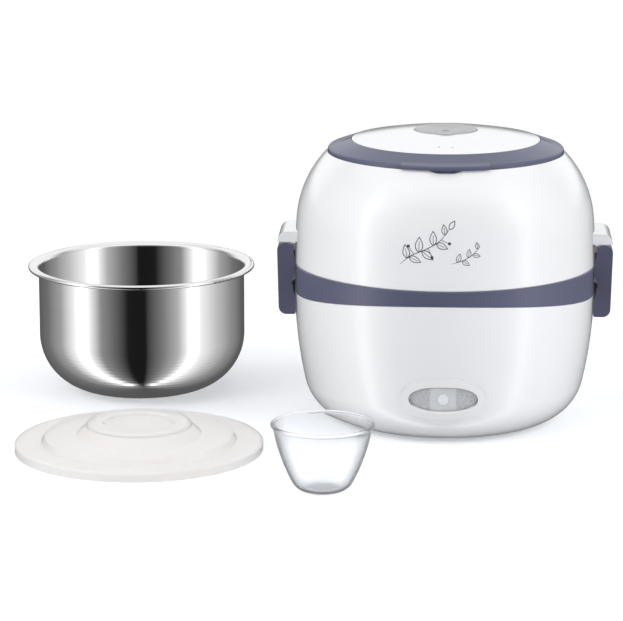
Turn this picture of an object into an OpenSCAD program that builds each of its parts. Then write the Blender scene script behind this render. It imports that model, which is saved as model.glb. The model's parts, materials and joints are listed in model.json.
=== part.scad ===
// Electric lunch box: a round steam warmer with a lift-off domed lid, two side latches, a
// flip-up handle, and its bowl, bowl lid and measuring cup standing beside it.
// Millimetres. The unit stands on z = 0 around the Z axis, and its front faces -Y.

/* [Bowl] */
// Outer radius of the bowl's wall
bowl_r = 60; // [54:0.5:66]
// Height of the bowl
bowl_h = 74; // [66:0.5:82]
// Width of the bowl's flat flange
bowl_flange_w = 6; // [4:0.5:8]
// Radius of the bowl's bottom corner
bowl_corner_r = 33; // [29:0.5:36]
// Thickness of the bowl's steel
bowl_t = 0.8; // [0.6:0.1:1.2]
// Radius of the rolled edge round the bowl's flange
bowl_bead_r = 1.2; // [0.9:0.1:1.6]

/* [Bowl lid] */
// Depth of the skirt that snaps over the bowl's flange
bowl_lid_skirt_h = 5; // [4:0.5:7]
// Height of the raised step above the skirt
bowl_lid_step_h = 3; // [2:0.5:4]
// Height of the centre knob above the step
bowl_lid_knob_h = 7.5; // [5:0.5:9]
// Radius of the raised step
bowl_lid_step_r = 51.6; // [46:0.5:55]
// Radius of the centre knob
bowl_lid_knob_r = 29; // [22:0.5:34]
// Thickness of the bowl lid's plastic
bowl_lid_t = 1.2; // [0.9:0.1:1.6]

/* [Measuring cup] */
// Radius of the cup at its rim
cup_rim_r = 27; // [24:0.5:30]
// Radius of the cup's foot
cup_foot_r = 15; // [12:0.5:18]
// Height of the cup
cup_h = 36; // [30:0.5:42]
// Thickness of the cup's wall
cup_t = 1.1; // [0.9:0.1:1.5]
// Radius of the bead round the cup's rim
cup_bead_r = 1; // [0.8:0.1:1.3]

/* [Steam pot and heater] */
// Radial gap between the bowl's wall and the pot
pot_gap = 2.5; // [1.5:0.1:4]
// Steam space under the bowl when it hangs in the pot
steam_gap = 5.2; // [3:0.2:8]
// Thickness of the pot's steel
pot_t = 0.8; // [0.6:0.1:1.2]
// Radius of the pot's bottom corner
pot_corner_r = 28; // [24:0.5:30]
// Width of the pot's flange
pot_flange_w = 6.2; // [5:0.2:8]
// Thickness of the cast heater plate
heater_t = 4; // [3:0.2:6]
// Radius of the cast heater plate
heater_r = 34; // [28:0.5:35]
// Radius of the heating tube cast into the plate's underside
heater_tube_r = 3.2; // [2.5:0.1:4]
// Height of the stud boss under the heater plate
heater_boss_h = 4; // [3.5:0.1:6]
// Thickness of the steel bracket under the heater
bracket_t = 1.2; // [0.8:0.1:2]
// Width of the steel bracket
bracket_w = 10; // [8:0.5:12]
// Height of the screw bosses that carry the bracket
bracket_boss_h = 6; // [5:0.5:8]

/* [Lower shell] */
// Radial room between the pot's wall and the outside of the shell
jacket_w = 20.9; // [19:0.1:24]
// Wall thickness of the white shells
wall = 2.4; // [2:0.1:3]
// Radius of the rounded bottom corner
corner_r = 27.8; // [24:0.2:30]
// Radius of the gentle curve of the side
side_curve_r = 239.4; // [200:1:400]
// Drop from the seam to the widest height of the lower shell
belly_drop = 14.6; // [8:0.2:20]
// Height of the inner rim's top above the seam
rim_rise = 7.4; // [6:0.2:9]

/* [Seam band] */
// Height of the band at the front
band_front_h = 8.2; // [6:0.2:12]
// How much lower the band's bottom edge lies at the latches
band_side_drop = 8.5; // [4:0.5:10]
// Radial thickness of the band
band_t = 2.4; // [2:0.1:3]
// Thickness of the flange that turns in at the band's top
band_flange_t = 2; // [1.5:0.1:3]
// How far the catch ridges stand out of the band
catch_out = 1.6; // [1:0.1:2]
// Width of a catch ridge
catch_w = 18; // [12:0.5:22]

/* [Lid] */
// Height of the lid's upright wall
lid_wall_h = 23.1; // [18:0.1:28]
// How far the upright wall leans in over its height
lid_draft = 1; // [0.4:0.1:2]
// Height of the ring's seat edge above the lid's bottom edge
shoulder_h = 62.4; // [54:0.2:70]
// How far the ring's seat edge lies inside the widest radius
shoulder_inset = 17.9; // [14:0.1:22]
// Depth of the groove that holds the top ring
ring_groove_d = 1.8; // [1.2:0.1:2.4]
// Space between the lid and its inner liner
liner_gap = 2.6; // [2:0.1:4]
// Thickness of the inner liner
liner_t = 1.2; // [1:0.1:1.8]
// Height of the silicone lid seal
seal_h = 3.2; // [2.4:0.1:4]
// Radial width of the silicone lid seal
seal_w = 7.5; // [5:0.5:9]

/* [Top ring and handle] */
// Radial width of the top ring
ring_w = 13; // [11:0.5:15]
// Height of the ring's outer edge above the groove floor
ring_outer_h = 4.5; // [3.5:0.1:6]
// Height of the ring's inner edge above the groove floor
ring_inner_h = 8.6; // [7:0.1:10]
// Radius that rounds the ring's outer edge
ring_edge_r = 1.6; // [1:0.1:2.4]
// Wall of the hollow ring
ring_wall = 2.2; // [1.8:0.1:3]
// Width of the finger tab at the handle's front
tab_w = 48; // [36:1:56]
// How far the finger tab stands out of the ring
tab_out = 2; // [1:0.1:3]
// Depth of the finger scoop in the lid under the tab
scoop_d = 1.5; // [0.8:0.1:1.8]
// Height of the top disc's dome above its edge
disc_dome_h = 5.6; // [4:0.1:8]
// Thickness of the top disc
disc_t = 2; // [1.6:0.1:2.6]
// Radius of the handle's steel pivot pins
handle_pin_r = 1; // [0.8:0.05:1.2]

/* [Vent plug] */
// Radius of the silicone plug's head
plug_r = 17.5; // [14:0.5:20]
// Thickness of the plug's head at its rim
plug_rim_t = 2.4; // [2:0.1:3]
// Depth of the dish in the plug's head
plug_dish_d = 1.3; // [0.8:0.1:1.6]
// Radius of the plug's stem
plug_stem_r = 8; // [6:0.25:10]
// Length of the plug's stem below its head
plug_stem_l = 6; // [4:0.5:7]
// Width of the plug's pull tab
plug_tab_w = 8.6; // [6:0.2:12]

/* [Latches] */
// Width of a latch along the rim
latch_w = 34; // [28:1:38]
// Radius of the latch's knuckle round its pin
knuckle_r = 4.4; // [4:0.1:4.8]
// Height of the pin above the lid's bottom edge
latch_pin_h = 8.1; // [7:0.1:10]
// Length of a latch below its pin
latch_l = 36.5; // [33:0.5:40]
// How much the latch's outer face leans in at its tip
latch_lean = 0.8; // [0:0.1:1.4]
// Radius of the latch's tip
latch_tip_r = 3.4; // [2.5:0.1:3.8]
// Radius of the hollow in the latch's inner side
latch_hollow_r = 13; // [11:0.5:16]
// Depth of the hollow in the latch's inner side
latch_hollow_d = 3.2; // [2.4:0.1:3.6]
// Radius of the latch's steel pin
latch_pin_r = 1.25; // [1:0.05:1.4]
// Width of the lid's ear that holds the pin
ear_w = 12; // [8:0.5:16]
// Radius of the hood over each latch
hood_r = 5.8; // [5:0.1:6.4]

/* [Switch] */
// Height of the switch's centre
switch_z = 28; // [26:0.5:32]
// Half width of the bezel
bezel_a = 23.6; // [21:0.1:26]
// Half height of the bezel
bezel_b = 12.2; // [11:0.1:13.5]
// How far the bezel stands out of the shell
bezel_out = 1.1; // [0.6:0.1:1.6]
// Width of the bezel's face round the button
bezel_face_w = 4.8; // [3.5:0.1:6]
// How far the button's face lies below the shell's surface
button_recess = 1.2; // [0.6:0.1:1.8]
// Travel of the button
button_travel = 1.8; // [1:0.1:2.4]
// Radius of the indicator lens
lens_r = 2.9; // [2:0.1:3.5]

/* [Power inlet] */
// Height of the inlet's centre at the back
inlet_z = 24; // [22:0.5:26]
// Distance between the centres of the two inlet pins
inlet_pitch = 8.6; // [8.4:0.1:8.8]
// Radius of an inlet pin
inlet_pin_r = 1.2; // [1.1:0.05:1.3]
// Depth of the inlet's socket
inlet_depth = 12.5; // [11:0.25:13]

/* [Bottom] */
// How far the rubber foot ring stands below the bottom cover
foot_out = 1.6; // [1.2:0.1:2.4]
// Radial width of the foot ring
foot_w = 6; // [4:0.5:8]
// Thickness of the bottom cover
cover_t = 2.4; // [2:0.1:3]
// Number of cooling slots in the bottom cover
slot_count = 12; // [6:1:16]

/* [Layout on the table] */
// Where the bowl stands, left of the unit and clear of the open latch
bowl_x = -177; // [-200:1:-176]
// How far the bowl stands behind the unit's axis
bowl_y = 56; // [55:1:80]
// Where the bowl lid lies, left of the unit
bowl_lid_x = -165; // [-180:1:-155]
// Where the bowl lid lies, in front of the unit's axis
bowl_lid_y = -84; // [-120:1:-82]
// Where the cup stands, left of the unit's axis
cup_x = -62; // [-75:1:-50]
// Where the cup stands, in front of the unit's axis
cup_y = -160; // [-190:1:-140]

/* [Clearances and screws] */
// Gap between parts that move past each other
move_gap = 0.3; // [0.25:0.05:0.5]
// Gap round fixed parts that drop into each other
fit_gap = 0.15; // [0.1:0.05:0.3]
// Running gap round a pivot pin
pin_gap = 0.08; // [0.03:0.01:0.1]
// Radius of a screw's shank
screw_r = 1.4; // [1.2:0.1:1.6]
// Radius of a screw's head
screw_head_r = 2.5; // [2.2:0.1:2.8]
// Height of a screw's head
screw_head_h = 1.4; // [1:0.1:1.8]

/* [Hidden] */
$fn = 96;

white = [0.95, 0.95, 0.94];
violet_grey = [0.40, 0.41, 0.51];
steel = [0.75, 0.76, 0.78];
black = [0.12, 0.12, 0.13];
silicone = [0.72, 0.72, 0.71];

// The stack from the table up to the seam, built round the bowl that hangs in the pot
ledge_t = 2;
ledge_z = foot_out + cover_t;
bracket_z = ledge_z + bracket_boss_h;
heater_z = bracket_z + bracket_t + heater_boss_h;
pot_z = heater_z + heater_t;
pot_floor_z = pot_z + pot_t;
bowl_drop_h = bowl_h - 2 * bowl_bead_r;
pot_top_z = pot_floor_z + steam_gap + bowl_drop_h;
rim_top_z = pot_top_z - pot_t;
seam_z = rim_top_z - rim_rise;
belly_z = seam_z - belly_drop;

// The radii from the bowl out to the shells
pot_r = bowl_r + pot_gap + pot_t;
pot_flange_r = pot_r + pot_flange_w;
body_r = pot_r + jacket_w;
side_x = body_r - side_curve_r;
corner_x = side_x + sqrt(pow(side_curve_r - corner_r, 2) - pow(belly_z - corner_r, 2));
// Where the bottom corner runs into the side, as an angle seen from both arcs' centres
side_a = -atan2(belly_z - corner_r, corner_x - side_x);

// Seam joint: the shell's tongue stands inside the band, and the inner rim inside the tongue
tongue_t = 1.8;
tongue_r = body_r - band_t - fit_gap;
tongue_top_z = seam_z - band_flange_t;
rim_skirt_r = tongue_r - tongue_t - fit_gap;
rim_t = 2;
rim_skirt_l = 12.6;
band_curve_r = (pow(body_r, 2) + pow(band_side_drop, 2)) / (2 * band_side_drop);

// Bottom: the cover drops into the shell's bottom lip and the foot ring into the cover
bottom_open_r = corner_x + sqrt(pow(corner_r, 2) - pow(corner_r - foot_out, 2));
lip_t = 2.3;
cover_r = bottom_open_r - lip_t - move_gap;
screw_circle_r = cover_r - screw_head_r - 1.5;
screw_boss_r = 3.6;
foot_r = screw_circle_r - screw_head_r - 1.5;
foot_seat_d = 0.8;
ledge_in_r = screw_circle_r - screw_boss_r - 0.4;
cover_screw_angles = [30, 150, 270];

// Lid
lid_z = seam_z + move_gap;
lid_r = body_r + 0.2;
lid_edge_r = 0.9;
lid_wall_z = lid_z + lid_wall_h;
lid_wall_r = lid_r - lid_draft;
shoulder_z = lid_z + shoulder_h;
shoulder_r = body_r - shoulder_inset;
draft_a = atan2(lid_draft, lid_wall_h);
shoulder_a = 2 * atan2(lid_wall_r - shoulder_r, shoulder_z - lid_wall_z) - draft_a;
dome_r = (shoulder_z - lid_wall_z) / (sin(shoulder_a) - sin(draft_a));
dome_x = lid_wall_r - dome_r * cos(draft_a);
dome_z = lid_wall_z - dome_r * sin(draft_a);
groove_z = shoulder_z - ring_groove_d;
groove_under_z = groove_z - wall;

// Top ring, handle and disc
ring_r = shoulder_r - 0.2 - move_gap;
ring_in_r = ring_r - ring_w;
groove_r = shoulder_r - 0.2;
hub_r = ring_in_r - 0.8;
hub_t = 2.4;
disc_r = ring_in_r - 0.4;
disc_edge_t = 1.2;
disc_edge_z = groove_z + ring_inner_h;
hub_top_z = disc_edge_z - disc_edge_t;
disc_ball_r = (pow(disc_r, 2) + pow(disc_dome_h, 2)) / (2 * disc_dome_h);
disc_ball_z = disc_edge_z + disc_dome_h - disc_ball_r;
ring_slope_a = atan2(ring_inner_h - ring_outer_h, ring_w - ring_edge_r);
ring_z = groove_z + move_gap;
handle_pin_z = hub_top_z - handle_pin_r - 0.5;
handle_arm_l = 9;
steam_hole_r = 0.75;
steam_hole_x = 3.65;
steam_hole_y = 41.7;

// Liner: a thinner dome inside the lid, on the same arc centre
liner_r = dome_r - wall - liner_gap;
liner_hole_r = 14;
seal_gap = 0.3;
seal_z = rim_top_z + seal_gap;
liner_z = seal_z + seal_h;
liner_in_r = pot_flange_r + 1;
liner_screw_r = hub_r + 5;
liner_screw_l = liner_t + 2 * wall / 3;

// Vent plug
plug_seat_z = disc_edge_z + disc_dome_h - plug_rim_t + 0.2;
plug_hole_r = plug_stem_r + move_gap;

// Latches
latch_pin_z = lid_z + latch_pin_h;
latch_clear_r = lid_r + move_gap;
latch_pin_x = latch_clear_r + knuckle_r;
latch_tip_z = latch_pin_z - latch_l;
latch_hollow_z = seam_z - band_front_h + 0.6;
latch_bore_l = latch_w - 4;
ear_r = 3;
ear_neck = 2;
hood_z = latch_pin_z + knuckle_r + 0.5;
catch_z = seam_z - 13;
catch_h = 3.4;

// Switch, placed from the shell's own surface
switch_y = shell_r(switch_z, 0);
button_gap = 0.3;
button_a = bezel_a - bezel_face_w - button_gap;
button_b = bezel_b - bezel_face_w + 0.2 - button_gap;
bezel_skirt = 1.5;
bezel_hole_a = button_a + button_gap + bezel_skirt;
bezel_hole_b = button_b + button_gap + bezel_skirt;
bezel_back_y = switch_y - 7.7;
button_stop_t = 1.5;
button_back_y = bezel_back_y - move_gap - button_stop_t;
power_switch_y = button_back_y - button_travel - 0.4;
power_switch_size = [20, 6.6, 11];
plunger_r = 2.4;
plunger_in = 3;
pedestal_w = 24;

// Inlet, set into a flat pad at the back of the shell
inlet_y = shell_r(inlet_z, 0) - 2;
inlet_flange = [30, 2, 16];
inlet_body_a = 10.5;
inlet_body_b = 5.6;
inlet_socket_a = 9;
inlet_socket_b = 4.2;
inlet_body_l = inlet_depth + 2;
inlet_screw_x = 12.7;

// Points of a circular arc from angle a to angle b
function arc(centre, r, a, b, n = 12) =
  [for (i = [0:n]) let (t = a + (b - a) * i / n) centre + r * [cos(t), sin(t)]];

// Radius of the lower shell at height z, with its outline moved inwards by t
function shell_r(z, t) =
  z > belly_z ? body_r - t
  : z > belly_z + (side_curve_r - t) * sin(side_a)
    ? side_x + sqrt(pow(side_curve_r - t, 2) - pow(belly_z - z, 2))
    : corner_x + sqrt(pow(corner_r - t, 2) - pow(corner_r - z, 2));

// Outline of the lower shell from height z_low up to the belly, moved inwards by t
function shell_outline(z_low, t) = concat(
  arc([corner_x, corner_r], corner_r - t, asin((z_low - corner_r) / (corner_r - t)), side_a, 24),
  arc([side_x, belly_z], side_curve_r - t, side_a, 0, 10));

// Outline of the lid's dome from its upright wall to height z_high, moved inwards by t
function dome_outline(z_high, t) =
  arc([dome_x, dome_z], dome_r - t, draft_a, asin((z_high - dome_z) / (dome_r - t)), 20);

// A list in reverse order
function reversed(points) = [for (i = [len(points) - 1:-1:0]) points[i]];

// An oval outline, a little squarer than an ellipse
function oval(a, b) = [
  for (i = [0:71])
    let (c = cos(i * 5), s = sin(i * 5))
      [a * sign(c) * pow(abs(c), 0.88), b * sign(s) * pow(abs(s), 0.88)]];

// An oval bar along Y at the switch's height, from distance y0 to y1 in front of the axis
module oval_bar(a, b, y0, y1) {
  translate([0, -y0, switch_z])
    rotate([90, 0, 0])
      linear_extrude(y1 - y0)
        polygon(oval(a, b));
}

// A round bar along Y from y0 to y1
module bar_y(x, z, r, y0, y1) {
  translate([x, y0, z])
    rotate([-90, 0, 0])
      cylinder(r = r, h = y1 - y0);
}

// Copies its children to each angle round the Z axis, at radius r
module around(angles, r) {
  for (a = angles)
    rotate(a)
      translate([r, 0, 0])
        children();
}

// A straight ring between two radii
module ring(r_in, r_out, z0, z1) {
  translate([0, 0, z0])
    difference() {
      cylinder(r = r_out, h = z1 - z0);
      translate([0, 0, -1])
        cylinder(r = r_in, h = z1 - z0 + 2);
    }
}

// Everything above the band's bottom edge, which sinks towards the latches
module above_band_edge(gap) {
  front_z = seam_z - band_front_h - gap;
  difference() {
    translate([-1.2 * body_r, -1.2 * body_r, front_z - 2 * band_side_drop])
      cube([2.4 * body_r, 2.4 * body_r, 4 * band_side_drop + rim_rise]);
    translate([0, 0, front_z - band_curve_r])
      rotate([90, 0, 0])
        cylinder(r = band_curve_r, h = 3 * body_r, center = true, $fn = 360);
  }
}

// A pan-head screw, head down, with the underside of its head at z = 0
module screw(length) {
  cylinder(r = screw_r, h = length, $fn = 32);
  translate([0, 0, -screw_head_h])
    difference() {
      cylinder(r = screw_head_r, h = screw_head_h, $fn = 32);
      translate([0, 0, -0.1])
        cylinder(r = 1.1, h = 0.8, $fn = 6);
    }
}

module base_shell_solid() {
  rotate_extrude()
    polygon(concat(
      shell_outline(foot_out, 0),
      [[body_r, tongue_top_z], [tongue_r - tongue_t, tongue_top_z],
        [tongue_r - tongue_t, belly_z], [body_r - wall, belly_z - 4]],
      reversed([for (p = shell_outline(ledge_z + ledge_t, wall)) if (p[1] < belly_z - 4) p]),
      [[ledge_in_r, ledge_z + ledge_t], [ledge_in_r, ledge_z],
        [cover_r + move_gap, ledge_z], [cover_r + move_gap, foot_out]]));
}

// Solid used to trim inner posts to the inside of the lower shell
module inside_of_shell() {
  rotate_extrude()
    polygon(concat(
      [[0, ledge_z]],
      shell_outline(ledge_z, wall / 2),
      [[0, belly_z]]));
}

module switch_pedestal() {
  top_z = switch_z - power_switch_size[2] / 2;
  depth = power_switch_size[1] + 1;
  intersection() {
    inside_of_shell();
    translate([-pedestal_w / 2, -power_switch_y, ledge_z])
      cube([pedestal_w, depth, top_z - ledge_z]);
  }
  intersection() {
    inside_of_shell();
    for (side = [-1, 1])
      translate([side * (pedestal_w / 2 - 1) - 1, -power_switch_y, ledge_z])
        cube([2, depth, top_z - ledge_z + 4]);
  }
}

module base_shell() {
  color(white)
    difference() {
      union() {
        base_shell_solid();
        // Bosses that carry the heater bracket and take the cover's screws
        around(concat([0, 180], cover_screw_angles), screw_circle_r)
          translate([0, 0, ledge_z + ledge_t / 2])
            cylinder(r = screw_boss_r, h = bracket_boss_h - ledge_t / 2);
        switch_pedestal();
        // Bosses behind the inlet's screws
        intersection() {
          inside_of_shell();
          for (side = [-1, 1])
            bar_y(side * inlet_screw_x, inlet_z, 3, inlet_y - 8, inlet_y + 2);
        }
      }
      // Outer layer that the band replaces
      difference() {
        above_band_edge(move_gap);
        translate([0, 0, ledge_z])
          cylinder(r = tongue_r, h = seam_z);
      }
      oval_bar(bezel_hole_a + fit_gap, bezel_hole_b + fit_gap, power_switch_y, body_r + 1);
      // Flat pad and openings for the inlet
      translate([-inlet_flange[0] / 2 - fit_gap, inlet_y, inlet_z - inlet_flange[2] / 2 - fit_gap])
        cube([inlet_flange[0] + 2 * fit_gap, 10, inlet_flange[2] + 2 * fit_gap]);
      inlet_bar(inlet_body_a + fit_gap, inlet_body_b + fit_gap, inlet_y - 12, inlet_y + 1);
      for (side = [-1, 1])
        bar_y(side * inlet_screw_x, inlet_z, screw_r + 0.02, inlet_y - 7, inlet_y + 1);
      around([0, 180], screw_circle_r)
        translate([0, 0, ledge_z + 1])
          cylinder(r = screw_r + 0.02, h = bracket_boss_h, $fn = 32);
      around(cover_screw_angles, screw_circle_r)
        translate([0, 0, ledge_z - 1])
          cylinder(r = screw_r + 0.02, h = bracket_boss_h, $fn = 32);
    }
}

// Section of the band: an outer wall with a flange that turns in over the tongue
module seam_band() {
  low_z = seam_z - band_front_h - band_side_drop - 4;
  color(violet_grey)
    difference() {
      union() {
        rotate_extrude()
          polygon(concat(
            [[body_r - band_t, low_z], [body_r, low_z]],
            arc([body_r - 0.8, seam_z - 0.8], 0.8, 0, 90, 5),
            [[rim_skirt_r + fit_gap, seam_z], [rim_skirt_r + fit_gap, tongue_top_z],
              [body_r - band_t, tongue_top_z]]));
        for (side = [0, 180])
          rotate(side)
            catch_ridge();
      }
      translate([0, 0, seam_z - band_front_h - band_curve_r])
        rotate([90, 0, 0])
          cylinder(r = band_curve_r, h = 3 * body_r, center = true, $fn = 360);
    }
}

// Ridge that the latch's lip hooks behind, with a sloped top for the lip to ride over
module catch_ridge() {
  x_in = sqrt(pow(body_r, 2) - pow(catch_w / 2, 2)) - 1;
  translate([0, catch_w / 2, catch_z])
    rotate([90, 0, 0])
      linear_extrude(catch_w)
        polygon([[x_in, 0], [body_r + catch_out, 0], [body_r + catch_out, catch_h / 2],
          [body_r, catch_h], [x_in, catch_h]]);
}

module inner_rim() {
  flange_in_r = pot_r + 0.7;
  color(white)
    rotate_extrude()
      polygon(concat(
        [[flange_in_r, rim_top_z]],
        arc([body_r - 4.5, rim_top_z - 1.5], 1.5, 90, 0, 5),
        [[body_r - 3, seam_z], [rim_skirt_r, seam_z],
          [rim_skirt_r, seam_z - rim_skirt_l], [rim_skirt_r - rim_t, seam_z - rim_skirt_l],
          [rim_skirt_r - rim_t, rim_top_z - rim_t], [flange_in_r, rim_top_z - rim_t]]));
}

module steam_pot() {
  corner = [pot_r - pot_corner_r, pot_z + pot_corner_r];
  color(steel)
    rotate_extrude()
      polygon(concat(
        [[0, pot_z]],
        arc(corner, pot_corner_r, -90, 0, 20),
        [[pot_r, rim_top_z], [pot_flange_r, rim_top_z], [pot_flange_r, pot_top_z],
          [pot_r - pot_t, pot_top_z]],
        arc(corner, pot_corner_r - pot_t, 0, -90, 20),
        [[0, pot_floor_z]]));
}

module heater_plate() {
  tube_circle_r = heater_r - 8;
  terminal_x = 17;
  color(steel)
    difference() {
      union() {
        translate([0, 0, heater_z])
          cylinder(r = heater_r, h = heater_t);
        intersection() {
          rotate_extrude()
            translate([tube_circle_r, heater_z])
              circle(r = heater_tube_r, $fn = 40);
          translate([-heater_r, -heater_r, heater_z - heater_boss_h])
            cube([2 * heater_r, 2 * heater_r, heater_boss_h + heater_t / 2]);
        }
        translate([0, 0, bracket_z + bracket_t])
          cylinder(r = 5, h = heater_boss_h + 1);
        // Terminal pins of the heating tube
        for (side = [-1, 1])
          translate([side * terminal_x, 19, heater_z - 7])
            cylinder(r = 1.5, h = 8, $fn = 32);
      }
      translate([0, 0, bracket_z])
        cylinder(r = screw_r + 0.02, h = bracket_t + heater_boss_h, $fn = 32);
    }
}

module heater_bracket() {
  length = 2 * screw_circle_r + 7;
  color(steel)
    difference() {
      union() {
        translate([-length / 2, -bracket_w / 2, bracket_z])
          cube([length, bracket_w, bracket_t]);
        // Stiffening flange along each long edge, short of the screw bosses
        for (side = [-1, 1])
          translate([-screw_circle_r + 8, side * (bracket_w - bracket_t) / 2 - bracket_t / 2, bracket_z - 3])
            cube([2 * screw_circle_r - 16, bracket_t, 3 + bracket_t / 2]);
      }
      around([0, 180], screw_circle_r)
        translate([0, 0, bracket_z - 1])
          cylinder(r = screw_r + fit_gap, h = bracket_t + 2, $fn = 32);
      translate([0, 0, bracket_z - 1])
        cylinder(r = screw_r + fit_gap, h = bracket_t + 2, $fn = 32);
    }
}

module bracket_screws() {
  color(steel) {
    around([0, 180], screw_circle_r)
      translate([0, 0, bracket_z + bracket_t])
        rotate([180, 0, 0])
          screw(bracket_t + bracket_boss_h - 1.5);
    translate([0, 0, bracket_z])
      screw(bracket_t + heater_boss_h - 0.5);
  }
}

module thermal_cutout() {
  centre_y = 14;
  can_r = 7;
  can_h = 6;
  color(black)
    union() {
      translate([0, centre_y, heater_z - can_h])
        cylinder(r = can_r, h = can_h);
      for (side = [-1, 1])
        translate([side * 3.5 - 1.5, centre_y - 0.4, heater_z - can_h - 2.5])
          cube([3, 0.8, 3]);
    }
}

module thermal_fuse() {
  sleeve_r = 2;
  color(white)
    translate([-8, -14, heater_z - sleeve_r])
      rotate([0, 90, 0])
        union() {
          cylinder(r = sleeve_r, h = 16, $fn = 32);
          translate([0, 0, -3])
            cylinder(r = 0.5, h = 22, $fn = 24);
        }
}

// Outline of a stadium with half sizes a and b, as an extrusion along Y
module inlet_bar(a, b, y0, y1) {
  translate([0, y1, inlet_z])
    rotate([90, 0, 0])
      linear_extrude(y1 - y0)
        union() {
          translate([-(a - b), -b])
            square([2 * (a - b), 2 * b]);
          for (side = [-1, 1])
            translate([side * (a - b), 0])
              circle(r = b, $fn = 64);
        }
}

module power_inlet() {
  face_y = inlet_y + inlet_flange[1];
  color(black)
    difference() {
      union() {
        translate([-inlet_flange[0] / 2, inlet_y, inlet_z - inlet_flange[2] / 2])
          cube(inlet_flange);
        inlet_bar(inlet_body_a, inlet_body_b, face_y - inlet_body_l, inlet_y + 0.5);
      }
      inlet_bar(inlet_socket_a, inlet_socket_b, face_y - inlet_depth, face_y + 1);
      for (side = [-1, 1]) {
        bar_y(side * inlet_pitch / 2, inlet_z, inlet_pin_r + 0.02, face_y - inlet_body_l - 1, face_y);
        bar_y(side * inlet_screw_x, inlet_z, screw_r + fit_gap, inlet_y - 1, face_y + 1);
      }
    }
}

module inlet_pins() {
  face_y = inlet_y + inlet_flange[1];
  color(steel)
    for (side = [-1, 1])
      bar_y(side * inlet_pitch / 2, inlet_z, inlet_pin_r, face_y - inlet_body_l - 4, face_y - 2.8);
}

module inlet_screws() {
  face_y = inlet_y + inlet_flange[1];
  color(steel)
    for (side = [-1, 1])
      translate([side * inlet_screw_x, face_y, inlet_z])
        rotate([90, 0, 0])
          screw(inlet_flange[1] + 5);
}

module power_switch() {
  size = power_switch_size;
  color(black)
    difference() {
      union() {
        translate([-size[0] / 2, -power_switch_y, switch_z - size[2] / 2])
          cube(size);
        for (side = [-1, 1])
          translate([side * 5 - 1.5, -power_switch_y + 2, switch_z - size[2] / 2 + size[2] - 0.5])
            cube([3, 0.8, 5]);
      }
      bar_y(0, switch_z, plunger_r + move_gap, -power_switch_y - 1, -power_switch_y + plunger_in + button_travel + 0.6);
    }
}

module switch_plunger() {
  color(white)
    bar_y(0, switch_z, plunger_r, -button_back_y, -power_switch_y + plunger_in);
}

// The lower shell's own surface moved out by t, as a solid for trimming the switch's faces
module shell_surface(t) {
  low_z = foot_out + max(0, -t);
  rotate_extrude()
    polygon(concat(
      [[0, low_z]],
      shell_outline(low_z, -t),
      [[0, belly_z]]));
}

module switch_bezel() {
  edge = 0.8;
  color(white)
    difference() {
      union() {
        // Face, in two steps for an eased edge
        difference() {
          intersection() {
            oval_bar(bezel_a, bezel_b, bezel_back_y, body_r + 3);
            shell_surface(bezel_out - edge / 2);
          }
          shell_surface(0.02);
        }
        difference() {
          intersection() {
            oval_bar(bezel_a - edge, bezel_b - edge, bezel_back_y, body_r + 3);
            shell_surface(bezel_out);
          }
          shell_surface(0.02);
        }
        // Skirt through the shell
        intersection() {
          oval_bar(bezel_hole_a, bezel_hole_b, bezel_back_y, body_r + 3);
          shell_surface(bezel_out / 2);
        }
      }
      oval_bar(button_a + button_gap, button_b + button_gap, bezel_back_y - 1, body_r + 4);
    }
}

module switch_button() {
  bevel = 1;
  color(silicone)
    difference() {
      union() {
        intersection() {
          oval_bar(button_a, button_b, button_back_y, body_r);
          shell_surface(-button_recess - bevel / 2);
        }
        intersection() {
          oval_bar(button_a - bevel, button_b - bevel, button_back_y, body_r);
          shell_surface(-button_recess);
        }
        oval_bar(bezel_hole_a - 0.2, bezel_hole_b - 0.2, button_back_y, button_back_y + button_stop_t);
      }
      bar_y(0, switch_z, lens_r + 0.05, -switch_y - 1, -switch_y + button_recess + 5);
    }
}

module indicator_lens() {
  front_y = switch_y - button_recess + 0.4;
  back_y = switch_y - button_recess - 5;
  color([0.85, 0.86, 0.88])
    difference() {
      bar_y(0, switch_z, lens_r, -front_y, -back_y);
      bar_y(0, switch_z, 1.6, -front_y + 1.4, -back_y + 1);
    }
}

module indicator_lamp() {
  front_y = switch_y - button_recess - 1.2;
  back_y = switch_y - button_recess - 5;
  color([0.9, 0.35, 0.2])
    union() {
      bar_y(0, switch_z, 1.5, -front_y + 1.5, -back_y);
      translate([0, -front_y + 1.5, switch_z])
        sphere(r = 1.5, $fn = 32);
    }
}

module bottom_cover() {
  slot = [2.6, 13];
  color(white)
    difference() {
      translate([0, 0, foot_out])
        cylinder(r = cover_r, h = cover_t);
      ring(foot_r - foot_w - fit_gap, foot_r + fit_gap, foot_out - 1, foot_out + foot_seat_d);
      around([for (i = [0:slot_count - 1]) i * 360 / slot_count], 18)
        translate([0, -slot[0] / 2, 0])
          cube([slot[1], slot[0], ledge_z + 1]);
      around(cover_screw_angles, screw_circle_r) {
        cylinder(r = screw_r + fit_gap, h = ledge_z + 1, $fn = 32);
        translate([0, 0, foot_out - 1])
          cylinder(r = screw_head_r + fit_gap, h = screw_head_h + 1, $fn = 32);
      }
    }
}

module cover_screws() {
  color(steel)
    around(cover_screw_angles, screw_circle_r)
      translate([0, 0, foot_out + screw_head_h])
        screw(cover_t - screw_head_h + bracket_boss_h - 2);
}

module foot_ring() {
  color(black)
    ring(foot_r - foot_w, foot_r, 0, foot_out + foot_seat_d);
}

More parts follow.
